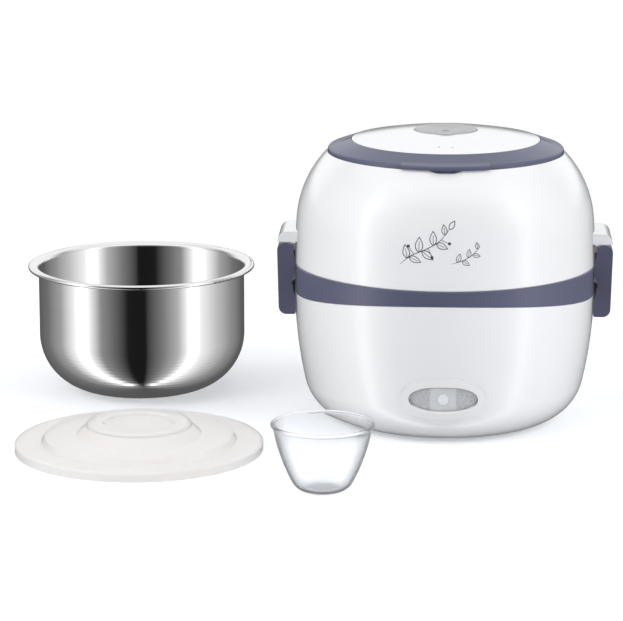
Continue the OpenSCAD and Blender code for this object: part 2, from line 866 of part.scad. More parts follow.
// A hood, an ear and the ear's neck that carry one latch on the right side of the lid
module latch_mount() {
  hood_x = latch_pin_x + knuckle_r - hood_r;
  wall_x = lid_wall_r - 4;
  translate([0, latch_w / 2, 0])
    rotate([90, 0, 0])
      linear_extrude(latch_w)
        polygon(concat(
          [[wall_x, hood_z], [hood_x + hood_r - 0.2, hood_z]],
          arc([hood_x, hood_z + 0.2], hood_r - 0.2, 0, 90, 12),
          [[wall_x, hood_z + hood_r]]));
  translate([0, ear_w / 2, 0])
    rotate([90, 0, 0])
      linear_extrude(ear_w)
        union() {
          translate([latch_pin_x, latch_pin_z])
            circle(r = ear_r);
          translate([wall_x, latch_pin_z - ear_neck])
            square([latch_pin_x - wall_x, 2 * ear_neck]);
        }
}

// The lid's outline as a solid, moved inwards by t, up to height z_high
module lid_bulk(z_high, t) {
  rotate_extrude()
    polygon(concat(
      [[0, lid_z - 5], [lid_r - t, lid_z - 5], [lid_r - t, lid_z]],
      dome_outline(z_high, t),
      [[0, z_high]]));
}

module lid_shell() {
  color(white)
    difference() {
      union() {
        rotate_extrude()
          polygon(concat(
            [[lid_r - wall, lid_z]],
            arc([lid_r - lid_edge_r, lid_z + lid_edge_r], lid_edge_r, -90, 0, 6),
            dome_outline(shoulder_z, 0),
            [[groove_r, shoulder_z], [groove_r, groove_z], [hub_r, groove_z],
              [hub_r, hub_top_z], [hub_r - hub_t, hub_top_z], [hub_r - hub_t, groove_under_z]],
            reversed(dome_outline(groove_under_z, wall))));
        difference() {
          for (side = [0, 180])
            rotate(side)
              latch_mount();
          lid_bulk(groove_z, wall / 2);
        }
      }
      for (side = [0, 180])
        rotate(side)
          bar_y(latch_pin_x, latch_pin_z, latch_pin_r + 0.02, -latch_w, latch_w);
      for (side = [-1, 1])
        translate([side * hub_r, 0, handle_pin_z])
          rotate([0, 90, 0])
            cylinder(r = handle_pin_r + 0.02, h = 3 * hub_t, center = true, $fn = 32);
      finger_scoop();
      around([45:90:315], liner_screw_r)
        translate([0, 0, groove_under_z - 1])
          cylinder(r = screw_r + 0.02, h = 1 + 2 * wall / 3 + 0.3, $fn = 32);
    }
}

// A shallow dish in the lid's shoulder, under the handle's finger tab
module finger_scoop() {
  dish_r = 46;
  face = [shoulder_r + 1.5, shoulder_z - 1.5];
  lift = (dish_r - scoop_d) / sqrt(2);
  translate([0, -(face[0] + lift), face[1] + lift])
    sphere(r = dish_r, $fn = 180);
}

module top_disc() {
  boss_r = plug_hole_r + 2.2;
  boss_z = plug_seat_z - plug_stem_l;
  color(white)
    difference() {
      union() {
        intersection() {
          translate([0, 0, disc_ball_z])
            difference() {
              sphere(r = disc_ball_r, $fn = 180);
              sphere(r = disc_ball_r - disc_t, $fn = 180);
            }
          translate([0, 0, hub_top_z])
            cylinder(r = disc_r, h = disc_dome_h + disc_edge_t + 2);
        }
        ring(hub_r - hub_t, disc_r, hub_top_z, disc_edge_z - 0.4);
        // Seat and sleeve of the vent plug
        translate([0, 0, plug_seat_z - 2])
          cylinder(r = plug_r + 2, h = 2);
        translate([0, 0, boss_z])
          cylinder(r = boss_r, h = plug_stem_l);
      }
      translate([0, 0, plug_seat_z])
        cylinder(r = plug_r + move_gap, h = 10);
      translate([0, 0, boss_z - 1])
        cylinder(r = plug_hole_r, h = plug_stem_l + 2);
      for (side = [-1, 1])
        translate([side * steam_hole_x, -steam_hole_y, hub_top_z - 2])
          cylinder(r = steam_hole_r, h = 12, $fn = 24);
    }
}

// Outline of the top ring: a hollow, tilted band with a rounded outer edge
function ring_outline(low_z) = concat(
  [[ring_in_r, low_z], [ring_r, low_z]],
  arc([ring_r - ring_edge_r, groove_z + ring_outer_h - ring_edge_r], ring_edge_r, 0, 90 - ring_slope_a, 6),
  [[ring_in_r, disc_edge_z]]);

module ring_body(low_z, tab) {
  rotate_extrude()
    polygon(ring_outline(low_z));
  if (tab)
    finger_tab();
}

// Underside of the finger tab, just above the lid's edge
tab_z = shoulder_z + move_gap;

// The handle's front lip: a wider piece of the same ring between two upright planes
module finger_tab() {
  intersection() {
    translate([0, -tab_out, 0])
      rotate_extrude()
        polygon(concat(
          [[ring_in_r + ring_w / 2, tab_z], [ring_r, tab_z]],
          arc([ring_r - ring_edge_r, groove_z + ring_outer_h - ring_edge_r - 0.1], ring_edge_r, 0, 90 - ring_slope_a, 6),
          [[ring_in_r + ring_w / 2, groove_z + ring_outer_h + 1]]));
    translate([-tab_w / 2, -body_r, groove_z])
      cube([tab_w, body_r, 12]);
  }
}

// Hollow under the ring, kept clear of the pivot arms
module ring_hollow(low_z) {
  rotate_extrude()
    polygon([
      [ring_in_r + ring_wall, low_z - 1], [ring_r - ring_wall, low_z - 1],
      [ring_r - ring_wall, groove_z + ring_outer_h - ring_wall],
      [ring_in_r + ring_wall, disc_edge_z - ring_wall - 0.6]]);
}

// Radius that the handle's pivot barrel needs at the ring's inner edge, and where it ends
barrel_r = disc_edge_z - handle_pin_z;
barrel_l = barrel_r / tan(ring_slope_a);

module pivot_barrels(gap) {
  for (side = [-1, 1])
    scale_x(side)
      translate([ring_in_r, 0, handle_pin_z])
        rotate([0, 90, 0])
          cylinder(r1 = barrel_r + gap, r2 = 0.05 + gap, h = barrel_l);
}

// Mirrors its children to the other side for side = -1
module scale_x(side) {
  if (side > 0)
    children();
  else
    mirror([1, 0, 0])
      children();
}

module handle() {
  front = 2 * body_r;
  color(violet_grey)
    difference() {
      union() {
        intersection() {
          ring_body(ring_z, true);
          translate([-body_r, -front, groove_z - 5])
            cube([2 * body_r, front, 30]);
        }
        intersection() {
          pivot_barrels(0);
          ring_body(ring_z, false);
        }
      }
      intersection() {
        ring_hollow(ring_z);
        translate([-body_r, -front - handle_arm_l, groove_z - 5])
          cube([2 * body_r, front, 30]);
      }
      for (side = [-1, 1])
        scale_x(side)
          translate([hub_r - 1, 0, handle_pin_z])
            rotate([0, 90, 0])
              cylinder(r = handle_pin_r + pin_gap, h = 5.6, $fn = 32);
    }
}

module handle_pins() {
  color(steel)
    for (side = [-1, 1])
      scale_x(side)
        translate([hub_r - hub_t + 0.2, 0, handle_pin_z])
          rotate([0, 90, 0])
            cylinder(r = handle_pin_r, h = hub_t + 4, $fn = 32);
}

module rear_trim() {
  back = 2 * body_r;
  color(violet_grey)
    difference() {
      intersection() {
        ring_body(groove_z, false);
        translate([-body_r, move_gap + 0.1, groove_z - 5])
          cube([2 * body_r, back, 30]);
      }
      intersection() {
        ring_hollow(groove_z);
        translate([-body_r, handle_arm_l, groove_z - 5])
          cube([2 * body_r, back, 30]);
      }
      // Room for the barrels, for the pins, and for the arms when they stand up
      pivot_barrels(move_gap + 0.1);
      handle_pins();
      for (side = [-1, 1])
        scale_x(side)
          translate([0, 0, handle_pin_z])
            linear_extrude(30)
              polygon([[ring_in_r - 1, 0], [ring_in_r - 1, barrel_r + move_gap + 0.3],
                [ring_in_r, barrel_r + move_gap + 0.1], [ring_in_r + barrel_l, move_gap + 0.1],
                [ring_in_r + barrel_l, 0]]);
    }
}

module lid_liner() {
  flange_r = lid_wall_r - wall - 0.5;
  wall_in_r = liner_r - liner_t;
  top_z = groove_under_z;
  color(white)
    difference() {
      rotate_extrude()
        polygon(concat(
          [[liner_in_r, liner_z], [flange_r, liner_z], [flange_r, liner_z + liner_t],
            [dome_x + liner_r * cos(draft_a), liner_z + liner_t]],
          arc([dome_x, dome_z], liner_r, draft_a, asin((top_z - dome_z) / liner_r), 16),
          [[liner_hole_r, top_z], [liner_hole_r, top_z - liner_t]],
          arc([dome_x, dome_z], wall_in_r, asin((top_z - liner_t - dome_z) / wall_in_r), draft_a, 16),
          [[dome_x + wall_in_r * cos(draft_a), liner_z + liner_t], [liner_in_r, liner_z + liner_t]]));
      around([45:90:315], liner_screw_r)
        translate([0, 0, top_z - 2 * liner_t])
          cylinder(r = screw_r + fit_gap, h = 3 * liner_t, $fn = 32);
    }
}

module liner_screws() {
  color(steel)
    around([45:90:315], liner_screw_r)
      translate([0, 0, groove_under_z - liner_t])
        screw(liner_screw_l);
}

module lid_seal() {
  r0 = liner_in_r + 0.5;
  lip = 1.2;
  color(silicone)
    rotate_extrude()
      polygon([[r0, liner_z], [r0 + seal_w, liner_z], [r0 + seal_w, seal_z],
        [r0 + seal_w - lip, seal_z], [r0 + seal_w - 2 * lip, seal_z + lip],
        [r0 + 2 * lip, seal_z + lip], [r0 + lip, seal_z], [r0, seal_z]]);
}

module latch_pins() {
  color(steel)
    for (side = [0, 180])
      rotate(side)
        bar_y(latch_pin_x, latch_pin_z, latch_pin_r, -latch_bore_l / 2, latch_bore_l / 2);
}

module vent_plug() {
  head_top_z = plug_seat_z + plug_rim_t;
  dish_r = plug_r - 2.6;
  ball_r = (pow(dish_r, 2) + pow(plug_dish_d, 2)) / (2 * plug_dish_d);
  tab_low_z = disc_ball_z + sqrt(pow(disc_ball_r, 2) - pow(plug_r, 2)) + move_gap;
  color(silicone)
    difference() {
      union() {
        rotate_extrude()
          polygon(concat(
            [[0, plug_seat_z], [plug_r, plug_seat_z]],
            arc([plug_r - 1, head_top_z - 1], 1, 0, 90, 6),
            [[0, head_top_z]]));
        translate([0, 0, plug_seat_z - plug_stem_l + 0.5])
          cylinder(r = plug_stem_r, h = plug_stem_l);
        // Pull tab at the front, over the disc's surface
        translate([0, -plug_r + 1, tab_low_z])
          cylinder(r = plug_tab_w / 2, h = head_top_z - tab_low_z);
      }
      translate([0, 0, head_top_z - plug_dish_d + ball_r])
        sphere(r = ball_r, $fn = 180);
      translate([0, 0, head_top_z - plug_dish_d + 0.8])
        sphere(r = 2.4, $fn = 48);
      translate([0, 0, plug_seat_z - plug_stem_l])
        cylinder(r = plug_stem_r - 2, h = plug_stem_l);
    }
}

// The latch on the right side; the left one is the same piece turned round
module latch() {
  face_x = latch_pin_x + knuckle_r;
  lip_z = latch_hollow_z - sqrt(pow(latch_hollow_r, 2) - pow(latch_hollow_r - latch_hollow_d, 2));
  color(violet_grey)
    difference() {
      translate([0, latch_w / 2, 0])
        rotate([90, 0, 0])
          linear_extrude(latch_w)
            polygon(concat(
              arc([latch_pin_x, latch_pin_z], knuckle_r, 0, 180, 32),
              [[latch_pin_x - 8, latch_pin_z], [latch_pin_x - 8, latch_tip_z + 1.6],
                [latch_pin_x - 3, latch_tip_z + 0.4]],
              arc([face_x - latch_lean - latch_tip_r, latch_tip_z + latch_tip_r],
                latch_tip_r, -90, 0, 10)));
      // Room round the body, and hook lip clear of the catch ridge
      translate([0, 0, latch_tip_z - 1])
        cylinder(r = latch_clear_r, h = latch_l + 2 * knuckle_r, $fn = 360);
      translate([0, -catch_w / 2 - 1, latch_tip_z - 1])
        cube([body_r + catch_out + move_gap, catch_w + 2, lip_z - latch_tip_z + 2]);
      // Hollow opposite the band
      bar_y(latch_clear_r + latch_hollow_d - latch_hollow_r, latch_hollow_z, latch_hollow_r, -latch_w, latch_w);
      // Pocket for the lid's ear
      bar_y(latch_pin_x, latch_pin_z, ear_r + move_gap, -ear_w / 2 - move_gap, ear_w / 2 + move_gap);
      translate([latch_pin_x - 8, -ear_w / 2 - move_gap, latch_pin_z - ear_neck - move_gap])
        cube([8 + ear_neck + 0.5, ear_w + 2 * move_gap, 12]);
      bar_y(latch_pin_x, latch_pin_z, latch_pin_r + pin_gap, -latch_bore_l / 2 - 0.2, latch_w);
    }
}

module latch_right() {
  latch();
}

module latch_left() {
  rotate(180)
    latch();
}

// Half section of the bowl, standing on z = 0
module bowl_section() {
  corner = [bowl_r - bowl_corner_r, bowl_corner_r];
  bead_z = bowl_h - bowl_bead_r;
  neck_r = 2;
  flange_x = bowl_r + bowl_flange_w - bowl_bead_r;
  polygon(concat(
    [[0, 0]],
    arc(corner, bowl_corner_r, -90, 0, 24),
    arc([bowl_r + neck_r, bead_z - neck_r], neck_r, 180, 90, 6),
    [[flange_x, bead_z]],
    arc([flange_x, bead_z + bowl_t / 2], bowl_t / 2, -90, 90, 6),
    reversed(arc([bowl_r + neck_r, bead_z - neck_r], neck_r + bowl_t, 180, 90, 6)),
    arc(corner, bowl_corner_r - bowl_t, 0, -90, 24),
    [[0, bowl_t]]));
}

module bowl() {
  color(steel)
    translate([bowl_x, bowl_y, 0])
      union() {
        rotate_extrude()
          bowl_section();
        rotate_extrude()
          translate([bowl_r + bowl_flange_w - bowl_bead_r, bowl_h - bowl_bead_r])
            circle(r = bowl_bead_r, $fn = 32);
      }
}

module bowl_lid() {
  rim_r = bowl_r + bowl_flange_w + move_gap + bowl_lid_t;
  skirt = bowl_lid_skirt_h;
  step_z = skirt + bowl_lid_step_h;
  knob_z = step_z + bowl_lid_knob_h;
  t = bowl_lid_t;
  knob_in_r = bowl_lid_knob_r - 9;
  color([0.93, 0.91, 0.88, 0.6])
    translate([bowl_lid_x, bowl_lid_y, 0])
      rotate_extrude()
        polygon(concat(
          [[rim_r - t, 0], [rim_r, 0]],
          arc([rim_r - 1.5, skirt - 1.5], 1.5, 0, 90, 6),
          [[bowl_lid_step_r + 1.5, skirt], [bowl_lid_step_r, step_z], [bowl_lid_knob_r + 5, step_z + 0.6],
            [bowl_lid_knob_r, knob_z - 2]],
          arc([bowl_lid_knob_r - 2.4, knob_z - 2], 2, 0, 90, 6),
          [[knob_in_r, knob_z], [knob_in_r - 1.4, knob_z - 1.6], [0, knob_z - 1.6],
            [0, knob_z - 1.6 - t], [knob_in_r - 2, knob_z - 1.6 - t], [knob_in_r - 0.6, knob_z - t],
            [bowl_lid_knob_r - 2.6, knob_z - t], [bowl_lid_knob_r - t, knob_z - 3],
            [bowl_lid_knob_r + 4, step_z + 0.6 - t], [bowl_lid_step_r - t, step_z - t],
            [bowl_lid_step_r + 0.6, skirt - t], [rim_r - t - 0.6, skirt - t], [rim_r - t, skirt - t - 0.6]]));
}

module measuring_cup() {
  corner_r = 8;
  side_r = 120;
  // The side is one gentle arc from the rim down to the corner
  rim = [cup_rim_r - cup_bead_r, cup_h];
  low = [cup_foot_r + corner_r * 0.8, corner_r * 0.75];
  chord = norm(rim - low);
  mid = (rim + low) / 2;
  along = (rim - low) / chord;
  centre = mid + [-along[1], along[0]] * sqrt(pow(side_r, 2) - pow(chord / 2, 2));
  a_low = atan2(low[1] - centre[1], low[0] - centre[0]);
  a_rim = atan2(rim[1] - centre[1], rim[0] - centre[0]);
  color([0.9, 0.93, 0.95, 0.4])
    translate([cup_x, cup_y, 0])
      union() {
        rotate_extrude()
          polygon(concat(
            [[0, 0], [cup_foot_r, 0]],
            [for (i = [1:8])
              let (t = i / 8, a = [cup_foot_r + corner_r * 0.55, 0])
                pow(1 - t, 2) * [cup_foot_r, 0] + 2 * t * (1 - t) * a + pow(t, 2) * low],
            arc(centre, side_r, a_low, a_rim, 12),
            reversed(arc(centre, side_r - cup_t, a_low, a_rim, 12)),
            reversed([for (i = [1:8])
              let (t = i / 8, a = [cup_foot_r + corner_r * 0.55 - cup_t, cup_t])
                pow(1 - t, 2) * [cup_foot_r - cup_t, cup_t] + 2 * t * (1 - t) * a
                  + pow(t, 2) * (low + [-cup_t, cup_t * 0.6])]),
            [[0, cup_t]]));
        rotate_extrude()
          translate([cup_rim_r - cup_bead_r, cup_h - cup_bead_r])
            circle(r = cup_bead_r, $fn = 32);
      }
}

base_shell();
seam_band();
inner_rim();
steam_pot();
heater_plate();
heater_bracket();
bracket_screws();
thermal_cutout();
thermal_fuse();
power_switch();
switch_bezel();
power_inlet();
inlet_pins();
inlet_screws();
bottom_cover();
cover_screws();
foot_ring();
switch_button();
switch_plunger();
indicator_lens();
indicator_lamp();
lid_shell();
top_disc();
rear_trim();
lid_liner();
liner_screws();
lid_seal();
latch_pins();
handle_pins();
handle();
vent_plug();
latch_left();
latch_right();
bowl();
bowl_lid();
measuring_cup();
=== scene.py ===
"""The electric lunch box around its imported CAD: camera, materials, latches, cup, print, light."""
import json
import math

import bmesh
import bpy
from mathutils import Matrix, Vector
from mathutils.bvhtree import BVHTree

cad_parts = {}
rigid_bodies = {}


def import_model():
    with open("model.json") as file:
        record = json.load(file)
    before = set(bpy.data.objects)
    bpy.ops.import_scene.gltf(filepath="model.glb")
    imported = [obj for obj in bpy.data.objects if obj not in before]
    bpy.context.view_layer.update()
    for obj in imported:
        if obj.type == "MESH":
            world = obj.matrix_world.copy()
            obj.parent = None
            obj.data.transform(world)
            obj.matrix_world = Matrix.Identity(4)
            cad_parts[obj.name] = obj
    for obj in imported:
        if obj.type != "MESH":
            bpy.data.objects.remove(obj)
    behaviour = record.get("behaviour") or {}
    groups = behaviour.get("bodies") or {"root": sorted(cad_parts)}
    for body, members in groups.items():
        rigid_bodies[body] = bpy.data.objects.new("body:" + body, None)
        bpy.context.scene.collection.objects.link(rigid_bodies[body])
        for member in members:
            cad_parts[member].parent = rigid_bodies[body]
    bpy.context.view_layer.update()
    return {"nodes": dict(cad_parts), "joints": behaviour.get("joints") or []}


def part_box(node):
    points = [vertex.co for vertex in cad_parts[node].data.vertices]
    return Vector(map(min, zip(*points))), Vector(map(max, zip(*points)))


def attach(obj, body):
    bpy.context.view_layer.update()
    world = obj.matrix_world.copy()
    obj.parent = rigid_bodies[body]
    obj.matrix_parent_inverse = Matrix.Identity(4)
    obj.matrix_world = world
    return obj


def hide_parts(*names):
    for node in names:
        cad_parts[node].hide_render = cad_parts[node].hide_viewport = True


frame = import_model()
NODES = frame["nodes"]
JOINTS = {joint["name"]: joint for joint in frame["joints"]}
MM = 0.001
scene = bpy.context.scene

# ---------------------------------------------------------------- camera

# Fitted to the unit in the photograph, then drawn smaller so that all the pieces fit in
CAMERA_AT = (0.0, -1.651, 0.432)
PITCH_DOWN = 12.72
YAW_LEFT = 2.60
PHOTO_W = 623
PHOTO_FOCAL_PX = 3472
DRAWN_SCALE = 0.862
SENSOR_W = 36.0
CLIP_END = 60

camera = bpy.data.objects.new("camera", bpy.data.cameras.new("camera"))
scene.collection.objects.link(camera)
camera.data.sensor_width = SENSOR_W
camera.data.lens = PHOTO_FOCAL_PX * DRAWN_SCALE / PHOTO_W * SENSOR_W
camera.data.clip_end = CLIP_END
camera.location = CAMERA_AT
camera.rotation_euler = (math.radians(90 - PITCH_DOWN), 0, math.radians(YAW_LEFT))
scene.camera = camera
scene.view_settings.view_transform = "Standard"

# ---------------------------------------------------------------- shader node helpers

PURE_WHITE = (1, 1, 1, 1)
# The colour sockets of a Mix node, which share their names with its other sockets
MIX_FIRST, MIX_SECOND, MIX_RESULT = 6, 7, 2


def new_material(name):
    material = bpy.data.materials.new(name)
    material.use_nodes = True
    tree = material.node_tree
    shader = tree.nodes["Principled BSDF"]
    return material, tree, shader


def add(tree, kind, **values):
    """A new node; each value goes on the input of that name, or else on the node itself."""
    node = tree.nodes.new(kind)
    for key, value in values.items():
        if key in node.inputs:
            node.inputs[key].default_value = value
        else:
            setattr(node, key, value)
    return node


def put(tree, socket, value):
    """Links another node's output into the socket, or writes a plain value on it."""
    if isinstance(value, bpy.types.NodeSocket):
        tree.links.new(value, socket)
    else:
        socket.default_value = value


def math_node(tree, operation, *values):
    node = add(tree, "ShaderNodeMath", operation=operation)
    for socket, value in zip(node.inputs, values):
        put(tree, socket, value)
    return node.outputs[0]


def mix_colour(tree, factor, first, second):
    node = add(tree, "ShaderNodeMix", data_type="RGBA")
    put(tree, node.inputs["Factor"], factor)
    put(tree, node.inputs[MIX_FIRST], first)
    put(tree, node.inputs[MIX_SECOND], second)
    return node.outputs[MIX_RESULT]


def mix_shader(tree, factor, first, second):
    node = add(tree, "ShaderNodeMixShader")
    put(tree, node.inputs["Fac"], factor)
    put(tree, node.inputs[1], first)
    put(tree, node.inputs[2], second)
    return node.outputs[0]


def object_noise(tree, scale, detail, stretch=(1, 1, 1)):
    """Noise in the object's own coordinates, in metres, stretched along the axes."""
    coordinates = add(tree, "ShaderNodeTexCoord")
    mapping = add(tree, "ShaderNodeMapping", Scale=stretch)
    put(tree, mapping.inputs["Vector"], coordinates.outputs["Object"])
    noise = add(tree, "ShaderNodeTexNoise", Scale=scale, Detail=detail)
    put(tree, noise.inputs["Vector"], mapping.outputs["Vector"])
    return noise.outputs["Fac"]


def ramp(tree, factor, stops):
    """A colour ramp through (position, grey or colour) stops."""
    node = add(tree, "ShaderNodeValToRGB")
    elements = node.color_ramp.elements
    while len(elements) < len(stops):
        elements.new(0.5)
    for element, (position, value) in zip(elements, stops):
        element.position = position
        colour = (value, value, value) if isinstance(value, (int, float)) else value
        element.color = (*colour, 1)
    put(tree, node.inputs["Fac"], factor)
    return node.outputs["Color"]


def drifting_colour(tree, noise, dark, light, margin=0.3):
    """From the dark colour to the light one with the noise, flat in a margin at both ends."""
    return ramp(tree, noise, [(margin, dark), (1 - margin, light)])


def to_range(tree, value, low, high):
    node = add(tree, "ShaderNodeMapRange")
    node.inputs["To Min"].default_value = low
    node.inputs["To Max"].default_value = high
    put(tree, node.inputs["Value"], value)
    return node.outputs["Result"]


def uneven(tree, noise, middle, share):
    """A number that wanders with the noise by a share of itself, up and down."""
    return to_range(tree, noise, middle * (1 - share), middle * (1 + share))


def smooth_step(tree, value, start, end):
    """0 below the start, 1 above the end, and a smooth rise between them."""
    node = add(tree, "ShaderNodeMapRange", interpolation_type="SMOOTHSTEP")
    node.inputs["From Min"].default_value = start
    node.inputs["From Max"].default_value = end
    put(tree, node.inputs["Value"], value)
    return node.outputs["Result"]


def bump(tree, shader, height, strength, distance):
    node = add(tree, "ShaderNodeBump", Strength=strength, Distance=distance)
    put(tree, node.inputs["Height"], height)
    put(tree, shader.inputs["Normal"], node.outputs["Normal"])


def seen_plainly(tree, path):
    """1 on rays from the camera and through clear plastic, 0 on all others."""
    return math_node(
        tree, "MAXIMUM", path.outputs["Is Camera Ray"], path.outputs["Is Transmission Ray"])


def srgb(r, g, b):
    """A colour given as it shows on screen, 0 to 255."""

    def linear(value):
        value /= 255
        return value / 12.92 if value <= 0.04045 else ((value + 0.055) / 1.055) ** 2.4

    return tuple(linear(v) for v in (r, g, b))


# ---------------------------------------------------------------- materials

COAT_ROUGH = 0.06
# Noise stretch of metals: even, or drawn out into polishing lines round the axis
EVEN = (1, 1, 1)
BRUSHED = (1, 1, 60)
# Share of painted grey shade on clear plastic, by how far its wall is turned from the eye: it
# stands in for the darker rims that clear plastic shows by refraction, not for haze in the plastic
EDGE_SHADE = [(0.35, 0.03), (0.7, 0.4), (0.95, 0.95)]
# The switch's smooth middle field ends and its stippled sides start here, in metres from its middle
SWITCH_MIDDLE_END, SWITCH_SIDE_START = 0.0064, 0.0074


def moulded_plastic(name, dark, light, rough, relief=0.00002, coat=0.0, shine=0.5):
    """Moulded plastic: a slight drift of colour and gloss, and a fine surface grain."""
    material, tree, shader = new_material(name)
    drift = object_noise(tree, scale=14, detail=2)
    gloss = object_noise(tree, scale=60, detail=3)
    grain = object_noise(tree, scale=900, detail=2)
    put(tree, shader.inputs["Base Color"], drifting_colour(tree, drift, dark, light, margin=0.35))
    put(tree, shader.inputs["Roughness"], uneven(tree, gloss, rough, share=0.2))
    bump(tree, shader, grain, strength=0.25, distance=relief)
    shader.inputs["Specular IOR Level"].default_value = shine
    if coat:
        shader.inputs["Coat Weight"].default_value = coat
        shader.inputs["Coat Roughness"].default_value = COAT_ROUGH
    return material


def polished_metal(name, tone, rough, brush=BRUSHED, scale=12, relief=0.000004, darkest=0.93):
    """Metal with fine lines or grain in its tone, its gloss and its surface."""
    material, tree, shader = new_material(name)
    lines = object_noise(tree, scale, detail=4, stretch=brush)
    dark = tuple(v * darkest for v in tone)
    put(tree, shader.inputs["Base Color"], drifting_colour(tree, lines, dark, tone))
    shader.inputs["Metallic"].default_value = 1.0
    put(tree, shader.inputs["Roughness"], uneven(tree, lines, rough, share=0.3))
    bump(tree, shader, lines, strength=0.2, distance=relief)
    return material


def soft_rubber(name, dark, light, rough=0.55):
    """Rubber or silicone with a drift of tone and a soft fine grain."""
    material, tree, shader = new_material(name)
    drift = object_noise(tree, scale=30, detail=3)
    grain = object_noise(tree, scale=1800, detail=2)
    put(tree, shader.inputs["Base Color"], drifting_colour(tree, drift, dark, light))
    put(tree, shader.inputs["Roughness"], uneven(tree, drift, rough, share=0.15))
    bump(tree, shader, grain, strength=0.3, distance=0.00003)
    return material


def clear_plastic(name, tint, rough, ior=1.49, edge=None):
    """Clear plastic; with an edge tone, its walls turn to that grey where they are seen edge-on, a
    painted shade in place of the dark rims that refraction gives.
    """
    material, tree, shader = new_material(name)
    drift = object_noise(tree, scale=20, detail=2)
    light = tuple(min(1.0, v * 1.01) for v in tint)
    put(tree, shader.inputs["Base Color"], drifting_colour(tree, drift, tint, light))
    put(tree, shader.inputs["Roughness"], uneven(tree, drift, rough, share=0.2))
    shader.inputs["Transmission Weight"].default_value = 1.0
    shader.inputs["IOR"].default_value = ior
    if edge:
        facing = add(tree, "ShaderNodeLayerWeight", Blend=0.5)
        # Painted shade: a grey translucent layer on the walls seen edge-on, in place of the rims'
        # refraction
        edge_shade = add(tree, "ShaderNodeBsdfTranslucent", Color=(*edge, 1))
        share = ramp(tree, facing.outputs["Facing"], EDGE_SHADE)
        mixed = mix_shader(tree, share, shader.outputs[0], edge_shade.outputs[0])
        put(tree, tree.nodes["Material Output"].inputs["Surface"], mixed)
    return material


def milky_plastic():
    """Thin translucent polypropylene, warm white."""
    material, tree, shader = new_material("milky_plastic")
    drift = object_noise(tree, scale=25, detail=3)
    grain = object_noise(tree, scale=900, detail=2)
    warm = drifting_colour(tree, drift, (0.985, 0.955, 0.93), (0.99, 0.975, 0.96))
    put(tree, shader.inputs["Base Color"], warm)
    put(tree, shader.inputs["Roughness"], to_range(tree, drift, 0.28, 0.4))
    shader.inputs["Transmission Weight"].default_value = 0.7
    shader.inputs["IOR"].default_value = 1.3
    shader.inputs["Subsurface Weight"].default_value = 0.3
    shader.inputs["Subsurface Radius"].default_value = (0.004, 0.003, 0.0025)
    bump(tree, shader, grain, strength=0.2, distance=0.00002)
    return material


def switch_face():
    """Silver plastic with a smooth middle field and a fine stipple on both side fields."""
    material, tree, shader = new_material("switch_face")
    coordinates = add(tree, "ShaderNodeTexCoord")
    split = add(tree, "ShaderNodeSeparateXYZ")
    put(tree, split.inputs[0], coordinates.outputs["Object"])
    from_middle = math_node(tree, "ABSOLUTE", split.outputs[0])
    side = smooth_step(tree, from_middle, SWITCH_MIDDLE_END, SWITCH_SIDE_START)
    drift = object_noise(tree, scale=90, detail=2)
    stipple = object_noise(tree, scale=1500, detail=2)
    smooth = drifting_colour(tree, drift, srgb(222, 223, 225), srgb(230, 231, 233))
    stippled = drifting_colour(
        tree, stipple, srgb(184, 185, 188), srgb(214, 215, 218), margin=0.35)
    put(tree, shader.inputs["Base Color"], mix_colour(tree, side, smooth, stippled))
    shader.inputs["Metallic"].default_value = 0.1
    put(tree, shader.inputs["Roughness"], to_range(tree, side, 0.24, 0.42))
    relief = math_node(tree, "MULTIPLY", stipple, side)
    bump(tree, shader, relief, strength=0.5, distance=0.00012)
    return material


WHITE = moulded_plastic(
    "white_plastic", (0.885, 0.888, 0.89), (0.905, 0.908, 0.91), 0.17,
    relief=0.000008, coat=0.6, shine=0.8)
VIOLET = moulded_plastic("violet_plastic", srgb(86, 88, 112), srgb(92, 94, 118), 0.30)
LATCH = moulded_plastic("latch_plastic", srgb(88, 88, 110), srgb(94, 94, 117), 0.30)
LINER = moulded_plastic("liner_plastic", srgb(206, 208, 210), srgb(214, 215, 217), 0.35)
BLACK = moulded_plastic("black_plastic", srgb(30, 30, 32), srgb(38, 38, 40), 0.4)
SLEEVE = moulded_plastic("white_sleeve", srgb(214, 212, 205), srgb(224, 222, 215), 0.5)
INK = moulded_plastic("print_ink", srgb(66, 66, 74), srgb(84, 84, 92), 0.35)
SILVER = switch_face()
MIRROR = polished_metal(
    "mirror_steel", (0.86, 0.86, 0.865), 0.09, relief=0.000001, darkest=0.985)
STEEL = polished_metal("steel", (0.70, 0.71, 0.72), 0.2)
SCREW = polished_metal("screw_steel", (0.62, 0.62, 0.63), 0.3, EVEN, 400)
ALUMINIUM = polished_metal("aluminium", (0.72, 0.73, 0.74), 0.45, EVEN, 500, 0.00003)
BRASS = polished_metal("brass", (0.80, 0.66, 0.36), 0.25, EVEN, 300)
RUBBER = soft_rubber("rubber", srgb(36, 36, 38), srgb(46, 46, 48))
SILICONE = soft_rubber("silicone", srgb(196, 197, 198), srgb(210, 211, 212), 0.4)
PLUG = soft_rubber("plug_silicone", srgb(166, 166, 167), srgb(184, 184, 185), 0.32)
LENS = soft_rubber("clear_lens", srgb(232, 233, 235), srgb(240, 241, 242), 0.15)
LAMP = clear_plastic("lamp_glass", (0.95, 0.80, 0.70), 0.1)
# The cup's edge tone is a painted grey shade on its walls where they are seen edge-on
CLEAR = clear_plastic(
    "clear_plastic", (0.985, 0.988, 0.99), 0.02, ior=1.12, edge=srgb(176, 178, 182))
MILKY = milky_plastic()

